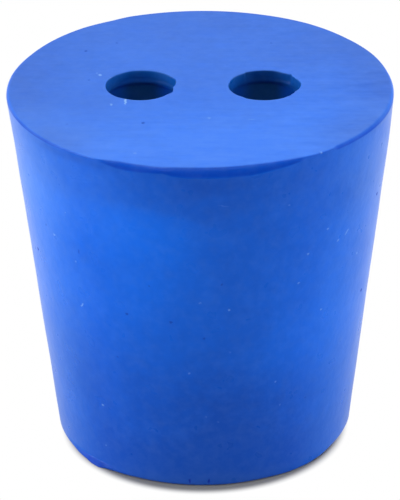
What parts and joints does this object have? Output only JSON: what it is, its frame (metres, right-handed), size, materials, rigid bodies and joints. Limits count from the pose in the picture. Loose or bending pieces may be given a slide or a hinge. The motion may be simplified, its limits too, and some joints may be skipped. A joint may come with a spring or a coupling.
{
  "type": "rubber stopper",
  "caption": "Tapered solid rubber laboratory stopper with two straight through bores side by side for glass tubing.",
  "frame": {"origin": "centre of the narrow end, on the plug's axis, in the plane it stands on", "axes": "+Z along the plug from the narrow end to the wide end, +X through the centres of the two bores"},
  "size_m": [0.026, 0.026, 0.025],
  "materials": {
    "rubber": "satin moulded rubber"
  },
  "bodies": {
    "root": {"stopper": "rubber"}
  },
  "joints": []
}
